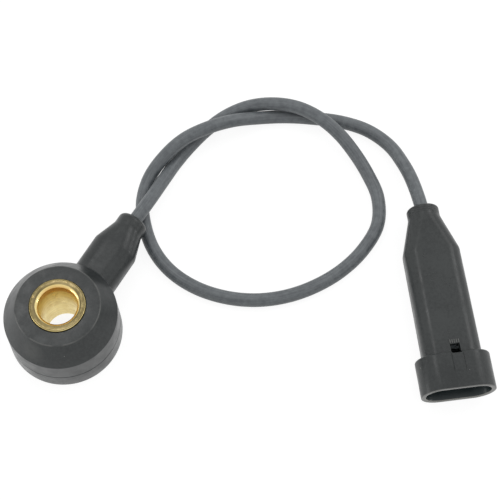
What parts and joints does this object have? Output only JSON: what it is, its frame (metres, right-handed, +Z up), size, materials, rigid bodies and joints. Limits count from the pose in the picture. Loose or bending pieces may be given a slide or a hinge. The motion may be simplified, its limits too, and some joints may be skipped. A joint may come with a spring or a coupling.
{
  "type": "engine knock sensor",
  "caption": "Flat-response engine knock sensor: ring body on a brass bolt sleeve, side boss, and a short cable to an oval plug.",
  "frame": {"origin": "on the seat plane, under the middle of the sensor's own box, which leaves out the cable and plug", "axes": "+X from the bolt hole along the boss to where the cable leaves, +Z up along the bolt hole, from the engine block to the bolt's head"},
  "size_m": [0.0921, 0.1006, 0.016],
  "materials": {
    "sleeve_brass": "turned brass, satin with fine turning marks",
    "black_moulding": "charcoal black glass-filled moulding, satin",
    "cable_jacket": "dark grey jacket, matt",
    "insulating_film": "amber film",
    "contact_metal": "tinned",
    "piezo_ceramic": "sintered, silvered faces",
    "plated_steel": "zinc plated",
    "resistor_coating": "lacquered",
    "carrier_plastic": "black moulding",
    "white_insulation": "satin",
    "black_insulation": "satin"
  },
  "bodies": {
    "root": {"sleeve": "sleeve_brass", "lower_insulator": "insulating_film", "lower_contact": "contact_metal", "piezo_ring": "piezo_ceramic", "upper_contact": "contact_metal", "upper_insulator": "insulating_film", "seismic_mass": "plated_steel", "disc_spring": "plated_steel", "clamp_nut": "plated_steel", "housing": "black_moulding", "discharge_resistor": "resistor_coating", "sensor_signal_wire": "white_insulation", "sensor_ground_wire": "black_insulation", "cable": "cable_jacket", "plug_body": "black_moulding", "terminal_carrier": "carrier_plastic", "signal_terminal": "contact_metal", "ground_terminal": "contact_metal", "plug_signal_wire": "white_insulation", "plug_ground_wire": "black_insulation"}
  },
  "joints": []
}
